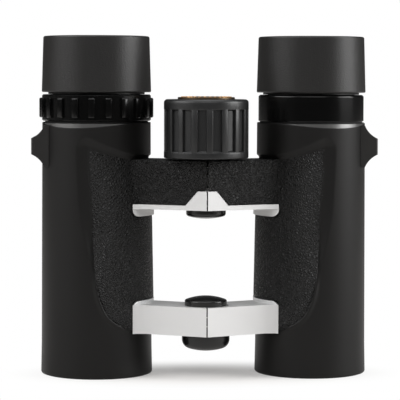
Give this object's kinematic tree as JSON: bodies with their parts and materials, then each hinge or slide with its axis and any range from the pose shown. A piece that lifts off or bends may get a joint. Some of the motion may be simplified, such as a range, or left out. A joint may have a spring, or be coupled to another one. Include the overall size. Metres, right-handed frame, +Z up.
{
  "type": "binoculars",
  "caption": "Compact open-bridge roof-prism binoculars in black armour with silver bridges, a central focus knob, twist-up eyecups and a diopter ring.",
  "frame": {"origin": "centre of the bounding box at the bottom, on the plane that the objective rims stand on", "axes": "+Z up towards the eyecups, along both barrels; +X across the pair towards the half without the diopter ring; -Y to the front, where the hinges stand out"},
  "size_m": [0.1118, 0.0471, 0.1096],
  "materials": {
    "silver_casting": "satin bead-blasted",
    "armour_rubber": "matte",
    "grip_leatherette": "fine leather grain",
    "black_hard_plastic": "matte",
    "black_ring_metal": "gloss black anodised",
    "gloss_black_cap": "gloss",
    "objective_glass": "coated",
    "ocular_glass": "coated",
    "prism_glass": "polished",
    "spring_steel": "turned",
    "seal_rubber": "matte",
    "eyecup_rubber": "soft matte",
    "knob_metal": "satin dark grey anodised",
    "bronze_disc": "satin bronze",
    "brass_nut": "turned",
    "nylon_washer": "plain"
  },
  "bodies": {
    "left_half": {"left_objective_cell": "black_hard_plastic", "left_objective_retainer": "black_ring_metal", "left_objective_crown_lens": "objective_glass", "left_objective_flint_lens": "objective_glass", "left_prism_holder": "black_hard_plastic", "left_entry_prism": "prism_glass", "left_roof_prism": "prism_glass", "left_prism_clip": "spring_steel", "left_eyepiece_tube": "black_hard_plastic", "left_eyepiece_seal": "seal_rubber", "left_chassis": "silver_casting", "left_armour": "armour_rubber", "left_grip_cover": "grip_leatherette", "left_strap_lug": "black_hard_plastic", "hinge_shaft": "spring_steel", "lower_hinge_pin": "spring_steel", "upper_hinge_cap": "gloss_black_cap", "lower_hinge_top_cap": "gloss_black_cap", "lower_hinge_bottom_cap": "gloss_black_cap", "hinge_washers": "nylon_washer", "knob_retaining_clip": "spring_steel"},
    "right_half": {"right_objective_cell": "black_hard_plastic", "right_objective_retainer": "black_ring_metal", "right_objective_crown_lens": "objective_glass", "right_objective_flint_lens": "objective_glass", "right_prism_holder": "black_hard_plastic", "right_entry_prism": "prism_glass", "right_roof_prism": "prism_glass", "right_prism_clip": "spring_steel", "right_eyepiece_tube": "black_hard_plastic", "right_eyepiece_seal": "seal_rubber", "right_chassis": "silver_casting", "right_armour": "armour_rubber", "right_grip_cover": "grip_leatherette", "right_strap_lug": "black_hard_plastic", "right_eyepiece_collar": "black_ring_metal", "right_eyepiece_cell": "black_hard_plastic", "right_field_lens": "ocular_glass", "right_eye_lens": "ocular_glass"},
    "focus_knob": {"focus_knob": "knob_metal", "focus_knob_disc": "bronze_disc", "focus_nut": "brass_nut"},
    "left_focus_slide": {"focus_spindle": "spring_steel", "spindle_clip": "spring_steel", "left_focus_arm": "spring_steel", "left_focus_carrier": "black_hard_plastic", "left_focus_lens": "ocular_glass"},
    "right_focus_slide": {"right_focus_arm": "spring_steel", "right_focus_carrier": "black_hard_plastic", "right_focus_lens": "ocular_glass"},
    "left_cup_carrier": {"left_eyecup_lift_ring": "black_hard_plastic"},
    "left_eyecup": {"left_eyecup_core": "black_hard_plastic", "left_eyecup_skin": "eyecup_rubber"},
    "right_cup_carrier": {"right_eyecup_lift_ring": "black_hard_plastic"},
    "right_eyecup": {"right_eyecup_core": "black_hard_plastic", "right_eyecup_skin": "eyecup_rubber"},
    "diopter_ring": {"left_diopter_ring": "black_ring_metal"},
    "left_ocular": {"left_eyepiece_cell": "black_hard_plastic", "left_field_lens": "ocular_glass", "left_eye_lens": "ocular_glass"}
  },
  "joints": [
    {"name": "fold", "type": "hinge", "parent": "left_half", "child": "right_half", "pos_m": [0, -0.01002, 0], "axis": [0, 0, 1], "range_deg": [0, 39]},
    {"name": "left_focus_travel", "type": "slide", "parent": "left_half", "child": "left_focus_slide", "axis": [0, 0, 1], "range_m": [-0.004, 0.0007]},
    {"name": "right_focus_travel", "type": "slide", "parent": "right_half", "child": "right_focus_slide", "axis": [0, 0, 1], "range_m": [-0.00405, 0.00075]},
    {"name": "focus_turn", "type": "hinge", "parent": "left_half", "child": "focus_knob", "pos_m": [0, -0.01002, 0], "axis": [0, 0, 1], "range_deg": [-361, 64]},
    {"name": "left_eyecup_lift", "type": "slide", "parent": "left_half", "child": "left_cup_carrier", "axis": [0, 0, 1], "range_m": [0, 0.008]},
    {"name": "left_eyecup_twist", "type": "hinge", "parent": "left_cup_carrier", "child": "left_eyecup", "pos_m": [-0.035, 0.00498, 0], "axis": [0, 0, 1], "range_deg": [-0.5, 120.5]},
    {"name": "right_eyecup_lift", "type": "slide", "parent": "right_half", "child": "right_cup_carrier", "axis": [0, 0, 1], "range_m": [0, 0.008]},
    {"name": "right_eyecup_twist", "type": "hinge", "parent": "right_cup_carrier", "child": "right_eyecup", "pos_m": [0.035, 0.00498, 0], "axis": [0, 0, 1], "range_deg": [-0.5, 120.5]},
    {"name": "diopter_travel", "type": "slide", "parent": "left_half", "child": "left_ocular", "axis": [0, 0, 1], "range_m": [-0.0015, 0.0015]},
    {"name": "diopter_turn", "type": "hinge", "parent": "left_half", "child": "diopter_ring", "pos_m": [-0.035, 0.00498, 0], "axis": [0, 0, 1], "range_deg": [-50.5, 50.5]}
  ],
  "couplings": [
    {"joint": "right_focus_travel", "follows": "left_focus_travel", "ratio": 1},
    {"joint": "focus_turn", "follows": "left_focus_travel", "rad_per_m": 1570.8},
    {"joint": "left_eyecup_twist", "follows": "left_eyecup_lift", "rad_per_m": 261.8},
    {"joint": "right_eyecup_twist", "follows": "right_eyecup_lift", "rad_per_m": 261.8},
    {"joint": "diopter_turn", "follows": "diopter_travel", "rad_per_m": 581.78}
  ]
}
